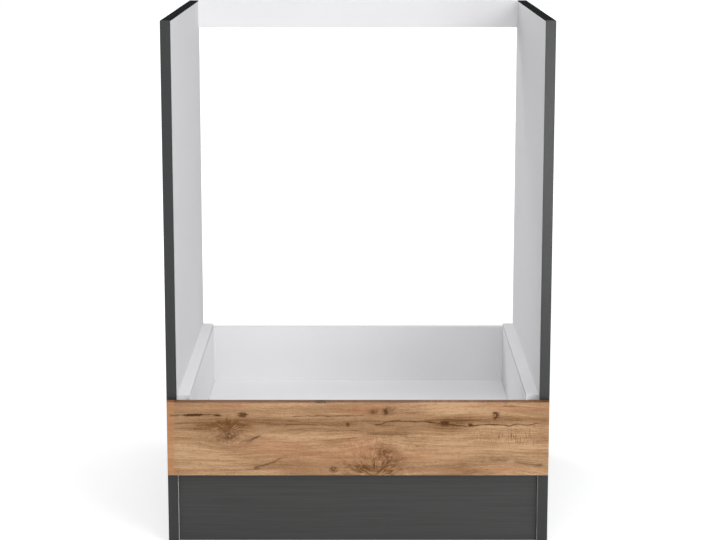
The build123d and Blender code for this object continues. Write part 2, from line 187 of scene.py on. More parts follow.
# %% Finishes
class Finish(Graph):
    """A procedural material round one Principled shader."""

    def __init__(self, name, settings):
        self.material = bpy.data.materials.new(name)
        self.material.use_nodes = True
        self.tree = self.material.node_tree
        self.shader = self.tree.nodes["Principled BSDF"]
        self.point = self.node("ShaderNodeTexCoord", {}, output="Object")
        for socket, value in settings.items():
            self.shader.inputs[socket].default_value = value

    def axis(self, name, vector=None):
        """One coordinate of a point, by the name of its axis."""
        return self.node("ShaderNodeSeparateXYZ", {}, vector or self.point, output=name)

    def stretch(self, scale, vector=None):
        """A point, scaled along each axis."""
        return self.vector("MULTIPLY", vector or self.point, scale)

    def noise(self, vector, detail=2.0, roughness=0.5, distortion=0.0):
        return self.node("ShaderNodeTexNoise", {}, Vector=vector, Scale=1.0, Detail=detail,
                         Roughness=roughness, Distortion=distortion)

    def blend(self, mask, low, high):
        """Colour low where the mask is 0 and colour high where it is 1."""
        colours = [c if isinstance(c, Link) else (*c, 1) for c in (low, high)]
        return self.node("ShaderNodeMix", {"data_type": "RGBA"}, mask, None, None, None, None,
                         None, *colours, output=2)

    def paint(self, colour):
        self.tree.links.new(colour.socket, self.shader.inputs["Base Color"])

    def vary(self, socket, value):
        self.tree.links.new(value.socket, self.shader.inputs[socket])

    def bump(self, height, distance, strength):
        normal = self.node("ShaderNodeBump", {}, Strength=strength, Distance=distance,
                           Height=height)
        self.tree.links.new(normal.socket, self.shader.inputs["Normal"])


# %% Colours
def colour(red, green, blue):
    """A screen colour, given from 0 to 255, as the linear values that a shader needs."""
    return tuple(c / 12.92 if c <= 0.04045 else ((c + 0.055) / 1.055) ** 2.4
                 for c in (red / 255, green / 255, blue / 255))


print("a screen grey of 128 is", round(colour(128, 128, 128)[0], 3), "in a shader")

# %% [markdown]
# ## White melamine
# The rail, the battens, the bottom board and the drawer back are chipboard under a white decor
# paper that is pressed against a satin plate. The surface is almost even, so its colour hardly
# changes, but its gloss has a soft orange peel. A faint noise in the roughness and in the bump
# makes reflections break up in the same way.

# %% White melamine
white = colour(233, 233, 235)
white_shade = colour(230, 230, 232)
satin = {"Roughness": 0.6, "Specular IOR Level": 0.1}
peel_grains = (900, 900, 900)  # grains in a metre
peel_depth = 0.0001
board_peel = 0.1


def peel(finish, strength):
    """The fine unevenness of a pressed or coated surface."""
    finish.bump(finish.noise(finish.stretch(peel_grains), detail=3.0), peel_depth, strength)


white_melamine = Finish("white_melamine", satin)
cloud = white_melamine.noise(white_melamine.stretch((6, 6, 6)), detail=3.0)
white_melamine.paint(white_melamine.blend(cloud, white, white_shade))
white_melamine.vary("Roughness", cloud * 0.1 + 0.55)
peel(white_melamine, board_peel)
print("white melamine has", len(white_melamine.tree.nodes), "nodes")

# %% [markdown]
# ## Chipboard
# Where no band covers an edge, the core of the board shows: flat chips of wood, pressed together,
# from pale to dark. Voronoi cells are the right shape for chips when they are squeezed in the
# direction in which the board was pressed, which is X for the side panels and Z for the bottom.

# %% Chips of the core
thin_way, long_way = 1400, 330  # chips in a metre, through the board and along it
dust_grains = (1500, 1500, 1500)
chip_share, dust_share = 0.7, 0.3
core_dark, core_pale = colour(128, 98, 66), colour(203, 174, 132)


def chipboard(finish, squeeze):
    """The colour of the raw core, with its chips flattened along one axis."""
    chips = finish.node("ShaderNodeTexVoronoi", {}, Vector=finish.stretch(squeeze), Scale=1.0,
                        Randomness=1.0, output="Color")
    dust = finish.noise(finish.stretch(dust_grains))
    tone = finish.axis("X", chips) * chip_share + dust * dust_share
    return finish.blend(tone, core_dark, core_pale)


print("a chip is", round(1000 / thin_way, 1), "mm thick and", round(1000 / long_way), "mm long")

# %% [markdown]
# ## Side panels
# One board has three looks: graphite decor outside, white decor inside, and the raw core on the
# rear and lower edges. All of them belong to one solid, so the material chooses by the distance
# from the middle of the unit. The decor papers lie only on the two faces, and whatever is between
# them is core. The white inside is the same decor as the other white boards, but it is painted a
# little greyer, as painted shade.

# %% Side panels
graphite = colour(66, 67, 69)
graphite_light = colour(72, 73, 75)
# The inner white is greyer than the white boards elsewhere: painted shade on the inner faces.
inner_white_painted_shade = colour(225, 225, 227)
inner_face, outer_face = [corner.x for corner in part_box("side_panel_right")]
outer_paper = (0.0006, 0.0004)  # depths at which the outer paper begins and is full
inner_paper = (0.0003, 0.0005)  # depths at which the inner paper is full and ends

side_board = Finish("side_board", satin)
across = abs(side_board.axis("X"))
outside = across.ramp(outer_face - outer_paper[0], outer_face - outer_paper[1])
inside = 1 - across.ramp(inner_face + inner_paper[0], inner_face + inner_paper[1])
grain = side_board.noise(side_board.stretch((60, 240, 5)), detail=4.0, roughness=0.6)
core = chipboard(side_board, (thin_way, long_way, long_way))
faced = side_board.blend(outside, core, side_board.blend(grain, graphite, graphite_light))
side_board.paint(side_board.blend(inside, faced, inner_white_painted_shade))
side_board.vary("Roughness", 0.85 - outside * 0.35)
side_board.bump(grain * outside, 0.0002, 0.2)
print("side panel decor at", round(inner_face, 4), "and", round(outer_face, 4))

# %% [markdown]
# The bottom board is banded on its front edge only, so its rear edge shows the core as well.

# %% Bottom board
board_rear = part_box("bottom_panel")[1].y
bottom_board = Finish("bottom_board", satin)
raw_edge = bottom_board.axis("Y").ramp(board_rear - inner_paper[1], board_rear - inner_paper[0])
core = chipboard(bottom_board, (long_way, long_way, thin_way))
bottom_board.paint(bottom_board.blend(raw_edge, white, core))
bottom_board.vary("Roughness", raw_edge * 0.25 + 0.6)
peel(bottom_board, board_peel)
print("bottom board ends at", round(board_rear, 4))

# %% [markdown]
# ## Graphite bands and plinth
# The bands are thin plastic strips that are glued on the panels' front and top edges. The plinth
# has the same graphite with a fine horizontal grain, which is a noise stretched along X. All are
# matt, with just enough gloss in front to catch the lamp on the right.


# %% Graphite bands
def graphite_band(name, settings, streaks, low, high):
    """A plastic edge band with faint streaks along it."""
    band = Finish(name, settings)
    streak = band.noise(band.stretch(streaks), detail=3.0)
    band.paint(band.blend(streak, low, high))
    band.bump(streak, 0.0001, 0.15)
    return band


# The front and top bands are the same graphite. Their colours differ only to match how each face is
# lit, which is painted light and shade.
front_band = graphite_band("graphite_front_band", {"Roughness": 0.32, "Specular IOR Level": 0.4},
                           (300, 60, 8), colour(30, 31, 32), colour(40, 41, 42))
top_band = graphite_band("graphite_top_band", {"Roughness": 0.7, "Specular IOR Level": 0.0},
                         (300, 8, 60), colour(36, 37, 38), colour(44, 45, 46))
print("band finishes:", front_band.material.name, "and", top_band.material.name)

# %% Plinth
plinth_dark, plinth_pale = colour(40, 41, 40), colour(50, 51, 50)
plinth_board = Finish("plinth_board", {"Roughness": 0.45, "Specular IOR Level": 0.4})
lines = plinth_board.noise(plinth_board.stretch((6, 300, 420)), detail=4.0, roughness=0.65)
plinth_board.paint(plinth_board.blend(lines.ramp(0.3, 0.7), plinth_dark, plinth_pale))
plinth_board.vary("Roughness", lines * 0.1 + 0.4)
plinth_board.bump(lines, 0.0002, 0.25)
print("plinth finish has", len(plinth_board.tree.nodes), "nodes")

# %% [markdown]
# ## Oak decor
# The drawer front wears a printed decor of knotty oak. Real oak is drawn by three things: long
# fibres that run along the board, knots that push the fibres aside, and cracks that open along
# them. The decor is built in the same order. First every knot bends a map of the board, then
# stretched noise is read from the bent map, so that all lines flow round the knots. Places are in
# millimetres from the middle of the front, to the right and up, as one would measure on the board.

# %% Knots
front_low, front_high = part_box("drawer_front_bands")
front_middle = (front_low + front_high) / 2
front_half = (front_high - front_low) * 500  # half of its size in millimetres

# The place of each knot, how far it reaches each way, and how hard it pushes the fibres aside
knots = {
    "soft knot": ((-202, 4), (34, 22), 0.75),
    "dark knot": ((-180, 39), (12, 6), 0.8),
    "smudge": ((-245, 23), (18, 9), 0.4),
    "edge knot": ((-57, 61), (12, 4), 0.8),
    "pin knot": ((-16, 23), (5, 4), 0.8),
    "low knot": ((-38, -49), (14, 9), 0.6),
    "burl": ((29, -30), (48, 26), 0.85),
    "upper knot": ((36, 44), (16, 9), 0.7),
    "crack knot": ((136, 26), (12, 6), 0.8),
    "ring knot": ((216, 38), (8, 9), 0.7),
    "small knot": ((176, 23), (8, 5), 0.7),
    "streak": ((93, -12), (14, 4), 0.5),
    "low arch": ((218, -60), (95, 26), 0.8),
}
print("front", [round(v * 2, 1) for v in front_half], "mm,", len(knots), "knots")

# %% [markdown]
# A bell is the softest mark: it is full at one place and fades evenly around it. The bent map
# moves each point up or down by its distance from a knot, as far as that knot's bell allows. A
# slow wave is added, because no board is perfectly straight.

# %% The bent map of the board
left_at_reach = 0.33
wave_grain = (0.006, 0, 0.018)
wave_height = 16


def bell(finish, where, place, reach):
    """1 at a place on the board, a third at its reach, and nothing beyond twice that."""
    scale = (1 / reach[0], 0, 1 / reach[1])
    shift = (-place[0] / reach[0], 0, -place[1] / reach[1])
    away = finish.vector("MULTIPLY_ADD", where, scale, shift)
    return left_at_reach ** finish.vector("DOT_PRODUCT", away, away, output="Value")


def offset_from(finish, place, where):
    """The way from a place on the board to each point."""
    return finish.vector("SUBTRACT", where, (place[0], 0, place[1]))


def bent_map(finish):
    """The point in millimetres, and the same point pushed aside by the knots."""
    from_middle = finish.vector("SUBTRACT", finish.point, front_middle)
    board = finish.stretch((1000, 1000, 1000), from_middle)
    wave = finish.noise(finish.stretch(wave_grain, board)).swing(wave_height)
    flow = finish.vector("ADD", board, finish.vector("SCALE", (0, 0, 1), Scale=wave))
    for place, reach, push in knots.values():
        aside = finish.vector("MULTIPLY", offset_from(finish, place, board), (0, 0, push))
        near = bell(finish, board, place, reach)
        flow = finish.vector("SUBTRACT", flow, finish.vector("SCALE", aside, Scale=near))
    return board, flow


print("the board waves by up to", wave_height / 2, "mm each way")

# %% [markdown]
# Tone comes next. Broad bands of light and dark wood follow the map, narrower growth lines lie on
# them, and pores are short dark dashes. Stains are large soft patches that the eye notices first:
# the brown shade round a knot, a pale stripe, a reddish field. Each is one bell.

# %% Stains
# The place of each stain, how far it reaches each way, and how much darker it makes the wood
stains = {
    "brown at the upper left": ((-235, 24), (75, 22), 0.36),
    "shade of the soft knot": ((-200, 12), (36, 18), 0.36),
    "pale at the lower left": ((-240, -32), (70, 18), -0.12),
    "brown at the diagonal crack": ((-100, -42), (55, 12), 0.36),
    "upper band": ((-30, 46), (130, 10), 0.10),
    "brown over the middle": ((-110, 26), (90, 9), 0.30),
    "grey band": ((20, 21), (110, 11), 0.40),
    "line under the grey band": ((42, 8), (40, 3), 0.35),
    "pale in the middle": ((-90, -8), (70, 14), -0.20),
    "shade of the burl": ((30, -44), (58, 18), 0.62),
    "heart of the burl": ((40, -20), (18, 12), 0.50),
    "shade of the upper knot": ((30, 45), (30, 9), 0.36),
    "shade over the long crack": ((190, 30), (120, 6), 0.36),
    "shade of the crack knot": ((142, 20), (34, 8), 0.34),
    "pale at the upper right": ((140, 47), (60, 8), -0.16),
    "pale at the right": ((210, -8), (90, 9), -0.18),
    "brown at the low arch": ((165, -46), (40, 7), 0.34),
    "shade at the right end": ((290, 10), (16, 50), 0.16),
}
# The same for reddish fields, with how red they are
reds = {
    "red at the upper left": ((-205, 52), (50, 7), 0.5),
    "red under the soft knot": ((-140, -12), (60, 14), 0.6),
    "red in the middle": ((-60, -28), (70, 16), 0.45),
    "red by the burl": ((5, -14), (34, 18), 0.6),
    "red at the lower middle": ((110, -28), (60, 12), 0.55),
    "red by the upper knot": ((12, 47), (34, 7), 0.8),
    "red at the upper right": ((240, 50), (45, 6), 0.6),
    "red at the foot": ((228, -49), (36, 4), 0.9),
}
print(len(stains), "stains and", len(reds), "red fields")

# %% Patches and fibres
# Length and height of a streak in millimetres, then the detail and roughness of its noise
fibre_kinds = {
    "broad bands": (220, 13, 3.0, 0.55),
    "growth lines": (60, 3.4, 4.0, 0.65),
    "hairs": (24, 1.5, 2.0, 0.6),
    "pores": (9, 0.8, 2.0, 0.55),
    "dark streaks": (110, 2.4, 2.0, 0.55),
    "open wood": (18, 30, 3.0, 0.55),
}


def patches(finish, board, places):
    """The sum of soft patches of different strength."""
    total = 0.0
    for place, reach, amount in places.values():
        total = bell(finish, board, place, reach).times_plus(amount, total)
    return total


def fibres(finish, where, kind):
    """Noise in streaks along the board."""
    length, height, detail, roughness = fibre_kinds[kind]
    return finish.noise(finish.stretch((1 / length, 0, 1 / height), where), detail, roughness)


print("kinds of fibres:", ", ".join(fibre_kinds))

# %% [markdown]
# Marks are drawn last. The heart of a knot is a dark bell that is broken up by a noise without a
# direction. A fan of short strands spreads from the foot of a large knot, and it is a noise that is
# read by angle instead of place.

# %% Hearts and fans
# The place of each heart, how far it reaches each way, and how dark it is
hearts = {
    "soft knot": ((-202, 4), (20, 10), 0.8),
    "soft knot top": ((-203, 24), (7, 10), 0.55),
    "dark knot": ((-180, 39), (9, 4.5), 1.5),
    "smudge": ((-245, 23), (14, 7), 0.6),
    "edge knot": ((-57, 61), (12, 3), 2.0),
    "pin knot": ((-16, 23), (3.5, 3.5), 1.5),
    "low knot": ((-38, -49), (9, 6), 1.1),
    "low knot right": ((4, -48), (16, 7), 0.6),
    "burl heart": ((40, -20), (14, 9), 0.5),
    "burl left": ((24, -46), (16, 8), 0.45),
    "burl right": ((56, -38), (20, 10), 0.6),
    "upper knot left": ((-4, 47), (8, 5), 0.5),
    "upper knot": ((25, 44), (10, 6), 0.8),
    "upper knot right": ((43, 44), (5, 8), 0.9),
    "beside the upper knot": ((52, 46), (10, 9), 0.5),
    "crack knot": ((135, 26), (9, 4), 1.6),
    "ring knot top": ((213, 42), (5, 3), 1.0),
    "ring knot side": ((217, 38), (5, 5), 0.9),
    "ring knot foot": ((214, 34), (5, 3), 0.9),
    "small knot": ((176, 23), (5, 4), 1.3),
    "streak": ((93, -12), (10, 2.4), 0.6),
    "red line": ((238, 53), (14, 1.5), 0.8),
    "arch end": ((284, -42), (10, 3), 0.8),
}
# The foot of each fan, how far it reaches each way, and its strength
fans = {
    "soft knot": ((-202, 12), (28, 18), 1.0),
    "burl": ((28, -62), (52, 56), 1.1),
}
strands_round = 7  # noise cells in one radian
strands_out = 0.07  # noise cells in one millimetre outwards


def fan(finish, board, place, reach):
    """Strands that spread from a place, strongest within its reach."""
    offset = offset_from(finish, place, board)
    turn = finish.axis("X", offset).maths("ARCTAN2", finish.axis("Z", offset))
    away = finish.vector("LENGTH", offset, output="Value")
    spot = finish.node("ShaderNodeCombineXYZ", {}, turn * strands_round, 0.0, away * strands_out)
    strands = finish.noise(spot, detail=4.0, roughness=0.6, distortion=0.6)
    return strands.swing(bell(finish, board, place, reach))


print(len(hearts), "hearts and", len(fans), "fans")

# %% [markdown]
# A crack is a line whose height along the board is a curve. Float Curve holds such a line in one
# node, and the distance to it makes the line as thin as it should be. Each crack is faded at both
# ends and has a soft shade on either side.

# %% Cracks
# The points of each line, its width in millimetres and its strength
cracks = {
    "long crack": ([
        (1, 26), (15, 26.5), (23, 24), (36, 24), (42, 26.5), (51, 28.5), (82, 28.5), (104, 28),
        (118, 26), (136, 24), (164, 21), (178, 21), (191, 23), (225, 22.5), (237, 21),
        (245, 23.5), (265, 22.5), (280, 25), (300, 22.5)], 0.85, 0.74),
    "left streak": ([(-300, 38), (-258, 38.6), (-227, 39), (-208, 36)], 1.2, 0.55),
    "thick of the left streak": ([(-275, 38.4), (-244, 39), (-212, 38.6)], 2.0, 0.4),
    "diagonal crack": ([
        (-166, -47), (-151, -43.5), (-140, -40), (-129, -36), (-121, -31), (-108, -29)],
        1.5, 0.52),
    "upper line": ([(-110, 36), (-60, 37), (-7, 37.5), (15, 39)], 0.8, 0.6),
    "middle line": ([(-150, 22), (-90, 23), (-30, 22.5), (-12, 22.5)], 0.7, 0.5),
    "under the grey band": ([(-60, 12), (0, 13), (30, 8), (60, 7), (110, 10)], 1.8, 0.35),
    "low arch": ([
        (60, -47), (97, -46), (164, -39), (191, -34), (218, -33), (245, -35), (272, -40),
        (297, -43)], 4.5, 0.3),
    "arch line": ([(150, -43), (191, -37), (225, -35), (262, -40), (297, -45)], 1.4, 0.15),
    "edge of the soft knot": ([
        (-225, -10), (-205, -13), (-180, -10), (-155, 4), (-125, 13), (-70, 13)], 2.0, 0.3),
    "mark by the soft knot": ([(-185, -5), (-165, 0), (-150, 8)], 1.4, 0.4),
    "lower line": ([(-220, -50), (-185, -50), (-150, -48)], 1.0, 0.45),
    "shoulder line": ([(60, 6), (100, 1), (150, -3), (190, 1)], 0.9, 0.3),
}
ragged_grain = (0.12, 0, 0.05)
raggedness = 3  # millimetres
line_reach = 1.3  # a crack fades to a third at this many widths
fade_in, fade_out = (0.0, 0.1), (0.92, 1.0)  # the shares of its length where it fades
shade_reach, shade_share = 0.3, 0.25
print(len(cracks), "cracks")


# %% Lines of the cracks
def height_curve(finish, along, points):
    """The height of a line through points, as a curve over its length."""
    (start, _), (end, _) = points[0], points[-1]
    line = finish.node("ShaderNodeFloatCurve", {}, 1.0, along)
    mapping = line.socket.node.mapping
    mapping.extend = "HORIZONTAL"
    curve = mapping.curves[0]
    places = [((x - start) / (end - start), (z + front_half.z) / (2 * front_half.z))
              for x, z in points]
    curve.points[0].location, curve.points[1].location = places[0], places[-1]
    for place in places[1:-1]:
        curve.points.new(*place)
    mapping.update()
    return line.times_plus(2 * front_half.z, -front_half.z)


def cracked(finish, board):
    """How much of a crack shows at each place."""
    x = finish.axis("X", board)
    ragged = finish.noise(finish.stretch(ragged_grain, board), detail=3.0)
    height = finish.axis("Z", board) + ragged.swing(raggedness)
    open_wood = fibres(finish, board, "open wood").ramp(0.25, 0.6).times_plus(0.6, 0.4)
    total = 0.0
    for points, width, strength in cracks.values():
        start, end = points[0][0], points[-1][0]
        along = finish.node("ShaderNodeMapRange", {}, x, start, end, 0.0, 1.0)
        distance = abs(height - height_curve(finish, along, points))
        gap = distance / (open_wood * (line_reach * width))
        fade = along.ramp(*fade_in) * (1 - along.ramp(*fade_out)) * strength
        shade = left_at_reach ** (gap * shade_reach) * shade_share
        depth = left_at_reach ** (gap * gap) * open_wood + shade
        total = depth.times_plus(fade, total)
    return total


print("longest crack:", max(line[-1][0] - line[0][0] for line, _, _ in cracks.values()), "mm")

# %% [markdown]
# The finish itself is now short. One decor serves the board and its edge bands. The band along the
# top is darker, so the darkening follows the height of the board's own upper edge. First
# all patterns are added up to one tone, and then the tone chooses the colour of the wood.

# %% Oak tone
burr_grain = (0.18, 0, 0.22)
fleck_grain = (0.3, 0, 0.5)
tick_grain = (0.42, 0, 0.07)
tick_field = ((245, 4), (52, 13))
burl_field = ((26, -24), (48, 26))
top_band_depths = (0.3, 0.1)  # depths below the upper edge at which the darker top band begins and is full
base_tone = 0.36
tone_share = {
    "broad bands": 1.7, "growth lines": 1.5, "hairs": 0.75, "dark streaks": 0.42, "stains": 1.4,
    "burr": 0.4, "flecks": 0.6, "burl": 1.3, "fans": 4.4, "ticks": 0.9,
}


def oak_tone(finish, board, flow, broad, burr):
    """How dark the wood is: about 0 where it is pale and more than 1 where it is brown."""
    top_darkening = finish.axis("Z", board).ramp(*[front_half.z - depth for depth in top_band_depths])
    growth, hairs = [fibres(finish, flow, kind) for kind in ("growth lines", "hairs")]
    streaks = fibres(finish, flow, "dark streaks").ramp(0.56, 0.76)
    flecks = finish.noise(finish.stretch(fleck_grain, board), roughness=0.6)
    ticks = finish.noise(finish.stretch(tick_grain, board)).ramp(0.5, 0.7)
    dark = broad.swing(tone_share["broad bands"]) + growth.swing(tone_share["growth lines"])
    dark = dark + hairs.swing(tone_share["hairs"]) + (top_darkening + base_tone)
    dark = dark + patches(finish, board, stains) * tone_share["stains"]
    dark = dark + burr.swing(tone_share["burr"]) + flecks.swing(tone_share["flecks"])
    dark = dark + streaks * tone_share["dark streaks"]
    dark = dark + burr.swing(bell(finish, board, *burl_field)) * tone_share["burl"]
    for place, reach, strength in fans.values():
        dark = dark + fan(finish, board, place, reach) * (tone_share["fans"] * strength)
    return dark + ticks * bell(finish, board, *tick_field) * tone_share["ticks"]


print("patterns in the tone:", len(tone_share))

# %% Oak finish
oak_pale, oak_mid, oak_dark = colour(195, 158, 121), colour(168, 131, 97), colour(110, 73, 38)
oak_red, oak_orange = colour(182, 127, 94), colour(186, 130, 88)
oak_heart, oak_crack = colour(72, 38, 10), colour(52, 25, 4)
end_strip, strip_blur = -287.5, 0.6
strip_share, pore_share, heart_share = 0.5, 0.45, 0.9


def oak_decor(name):
    """Knotty oak, darker on the top band, with an orange strip at the left end."""
    finish = Finish(name, {"Roughness": 0.5, "Specular IOR Level": 0.12})
    board, flow = bent_map(finish)
    broad, pores = [fibres(finish, flow, kind) for kind in ("broad bands", "pores")]
    burr = finish.noise(finish.stretch(burr_grain, board), 4.0, 0.7, 1.5)
    dark = oak_tone(finish, board, flow, broad, burr)
    wood = finish.blend(dark.ramp(0.0, 0.55), oak_pale, oak_mid)
    wood = finish.blend(dark.ramp(0.4, 1.5), wood, oak_dark)
    wood = finish.blend(patches(finish, board, reds) * (broad + 0.1), wood, oak_red)
    right_of_strip = finish.axis("X", board).ramp(end_strip - strip_blur, end_strip + strip_blur)
    wood = finish.blend((1 - right_of_strip) * strip_share, wood, oak_orange)
    wood = finish.blend(pores.ramp(0.52, 0.7) * pore_share, wood, oak_dark)
    heart = patches(finish, board, hearts) * burr.ramp(0.2, 0.6)
    wood = finish.blend(heart.ramp(0.05, 1.0) * heart_share, wood, oak_heart)
    lines = cracked(finish, board)
    finish.paint(finish.blend(lines.ramp(0.0, 1.1), wood, oak_crack))
    finish.vary("Roughness", 0.55 - broad * 0.1)
    finish.bump(1 - lines - pores * 0.3 - heart * 0.3, 0.0002, 0.35)
    return finish


oak = oak_decor("knotty_oak")
print("oak decor with", len(oak.tree.nodes), "nodes")

# %% [markdown]
# ## Steel, zinc, nylon and beech
# The drawer sides and runners are steel under a white powder coat. Screws and brackets are zinc
# plated, the cams are cast, the rollers are turned from nylon and the dowels are beech. Each is a
# small variation on one noise: how large its grains are, and how much they change the colour.


# %% Small finishes
def plain(name, settings, grains, low, high, roughness):
    """A finish whose colour and roughness wander between two values."""
    finish = Finish(name, settings)
    grain = finish.noise(finish.stretch(grains), detail=3.0)
    finish.paint(finish.blend(grain, low, high))
    finish.vary("Roughness", grain * 0.12 + roughness)
    return finish


metal = {"Metallic": 1.0}
white_steel = plain("white_steel", satin, (8, 8, 8), white_shade, white, 0.36)
peel(white_steel, 0.12)
zinc = plain("zinc_plate", metal, (200, 200, 200),
             colour(170, 172, 178), colour(200, 201, 204), 0.28)
cast_zinc = plain("cast_zinc", metal, (400, 400, 400),
                  colour(150, 152, 156), colour(178, 179, 182), 0.4)
nylon = plain("nylon", {}, (80, 80, 80), colour(218, 218, 212), colour(228, 228, 222), 0.36)
block_plastic = plain("block_plastic", {}, (120, 120, 120),
                      colour(214, 213, 207), colour(224, 223, 218), 0.42)
beech = plain("beech", {}, (40, 900, 900), colour(190, 150, 105), colour(212, 176, 132), 0.6)
print("zinc needs only", len(zinc.tree.nodes), "nodes")

# %% [markdown]
# ## Hardware
# Screws, bolts, cams, rivets and dowels repeat, so a geometry tree builds each kind once and sets a
# copy on every seat. A seat is the middle of a head's outer face. It is measured on the CAD solid:
# the solid is longest, or shortest, along its own axis, and its head is the end that reaches
# further from that axis.

# %% Seats of the hardware
end_zone = 0.0003


def solids(name):
    """The corner points of each loose solid of a CAD node."""
    mesh = frame["nodes"][name].data
    spots = [tuple(round(c, 6) for c in vertex.co) for vertex in mesh.vertices]
    groups = {spot: {spot} for spot in spots}
    for polygon in mesh.polygons:
        merged = set().union(*(groups[spots[i]] for i in polygon.vertices))
        groups.update((spot, merged) for spot in merged)
    return [sorted(group) for group in {id(group): group for group in groups.values()}.values()]


class Seat:
    """Where one piece of hardware sits and which way its head looks."""

    def __init__(self, points):
        low, high = Vector(map(min, zip(*points))), Vector(map(max, zip(*points)))
        size = high - low
        usual = sorted(size)[1]
        self.axis = max(range(3), key=lambda i: abs(size[i] - usual))
        self.middle = (low + high) / 2
        reach = [max(self.off_axis(p) for p in points if abs(p[self.axis] - end) < end_zone)
                 for end in (low[self.axis], high[self.axis])]
        self.sign = 1 if reach[1] > reach[0] else -1
        self.half_length = size[self.axis] / 2

    def off_axis(self, point):
        offset = Vector(point) - self.middle
        offset[self.axis] = 0
        return offset.length

    def facing(self):
        return Vector([self.sign if i == self.axis else 0 for i in range(3)])

    def place(self):
        return self.middle + self.facing() * self.half_length


print("batten screws:", len(solids("batten_screws")), "cams:", len(solids("cam_housings")))

# %% [markdown]
# `Recipe` holds one geometry tree. Its inputs carry the sizes by name, and depths are counted from
# the seat into the material. `bar` is a round or tapered bar between two depths, `thread` is a
# helix with a three-sided ridge, and `cut` takes slots and bores out of a piece. At the end every
# seat gets one copy: its facing direction turns the copy, and the copies become one real mesh.

# %% Recipes
round_sides = 24
thread_steps = 16
drive_slot = (0.0038, 0.0009, 0.0008)  # length, width and depth of one arm of the cross recess


class Recipe(Graph):
    """A geometry tree with named sizes that puts one copy on every seat."""

    def __init__(self, name, sizes):
        self.tree = bpy.data.node_groups.new(name, "GeometryNodeTree")
        interface = self.tree.interface
        sockets = [("Seats", "Geometry"), *((s, "Float") for s in sizes), ("Finish", "Material")]
        for label, kind in sockets:
            interface.new_socket(label, in_out="INPUT", socket_type="NodeSocket" + kind)
        interface.new_socket("Pieces", in_out="OUTPUT", socket_type="NodeSocketGeometry")
        entry = self.tree.nodes.new("NodeGroupInput")
        self.given = {label: Link(self, entry.outputs[label]) for label, _ in sockets}

    def lowered(self, mesh, depth):
        down = self.node("ShaderNodeCombineXYZ", {}, 0.0, 0.0, 0 - depth)
        return self.node("GeometryNodeTransform", {}, mesh, down)

    def bar(self, top, bottom, top_radius, bottom_radius):
        cone = self.node("GeometryNodeMeshCone", {}, round_sides, 1, 1, top_radius,
                         bottom_radius, bottom - top)
        return self.lowered(cone, bottom)

    def box(self, length, width, height):
        """A box round the seat."""
        size = self.node("ShaderNodeCombineXYZ", {}, length, width, height)
        return self.node("GeometryNodeMeshCube", {}, size)

    def dome(self, height, radius):
        """Half of a flattened ball, with its crown at the seat."""
        ball = self.node("GeometryNodeMeshUVSphere", {}, round_sides, round_sides // 2, 1.0)
        scale = self.node("ShaderNodeCombineXYZ", {}, radius, radius, height)
        ball = self.node("GeometryNodeTransform", {}, ball, None, None, scale)
        lower_half = self.lowered(self.box(radius * 4, radius * 4, height * 2), height * 2)
        return self.cut(self.lowered(ball, height), lower_half)

    def cut(self, mesh, *cutters):
        settings = {"operation": "DIFFERENCE", "solver": "EXACT"}
        return self.node("GeometryNodeMeshBoolean", settings, mesh, [*cutters])

    def cross(self, mesh):
        """Cut a cross recess into the seat end."""
        long, wide, deep = drive_slot
        return self.cut(mesh, self.box(long, wide, deep * 2), self.box(wide, long, deep * 2))

    def thread(self, top, bottom, radius, ridge, pitch):
        """A helix whose ridge just reaches the radius."""
        middle, height = radius - ridge, bottom - top
        helix = self.node("GeometryNodeCurveSpiral", {}, thread_steps, height / pitch,
                          middle, middle, height)
        profile = self.node("GeometryNodeCurvePrimitiveCircle", {}, 3, Radius=ridge)
        ridges = self.node("GeometryNodeCurveToMesh", {}, helix, profile, 1.0, True)
        return self.lowered(ridges, bottom)

    def serve(self, *pieces):
        """Join the pieces, copy them to every seat and give them their finish."""
        whole = self.node("GeometryNodeJoinGeometry", {}, [*pieces])
        read, align = "GeometryNodeInputNamedAttribute", "FunctionNodeAlignRotationToVector"
        facing, turn = [self.node(read, {"data_type": "FLOAT_VECTOR"}, name)
                        for name in ("facing", "turn")]
        aim = self.node(align, {"axis": "Z"}, None, 1.0, facing)
        aim = self.node(align, {"axis": "X", "pivot_axis": "Z"}, aim, 1.0, turn)
        copies = self.node("GeometryNodeInstanceOnPoints", {}, self.given["Seats"], None, whole,
                           Rotation=aim)
        real = self.node("GeometryNodeRealizeInstances", {}, copies)
        dressed = self.node("GeometryNodeSetMaterial", {}, real, None, self.given["Finish"])
        self.tree.links.new(dressed.socket, self.tree.nodes.new("NodeGroupOutput").inputs["Pieces"])


# %% [markdown]
# The screws of the unit are made as real ones are: the head is pressed and gets its cross recess,
# and the thread is rolled on the shank below a smooth neck. One recipe serves a sunk head, a domed
# head and the cam bolt, whose head is a plain ball that the cam grips.

# %% Screw recipes
screw_sizes = ["Length", "Head radius", "Head height", "Neck radius", "Neck end",
               "Thread radius", "Ridge", "Pitch", "Point length", "Point radius"]
core_depth = 1.3  # in ridges below the crest of the thread


def screw_recipe(name, shape):
    """A screw with a sunk, domed or ball head."""
    recipe = Recipe(name, screw_sizes)
    length, head_radius, head, neck, neck_end, radius, ridge, pitch, point, point_radius = [
        recipe.given[size] for size in screw_sizes]
    if shape == "sunk":
        top = recipe.cross(recipe.bar(0.0, head, head_radius, neck))
    elif shape == "domed":
        top = recipe.cross(recipe.dome(head, head_radius))
    else:
        top = recipe.dome(head, head_radius)
    core = radius - ridge * core_depth
    recipe.serve(
        top,
        recipe.bar(head, neck_end, neck, neck),
        recipe.bar(neck_end, length - point, core, core),
        recipe.bar(length - point, length, core, point_radius),
        recipe.thread(neck_end, length - point, radius, ridge, pitch),
    )
    return recipe


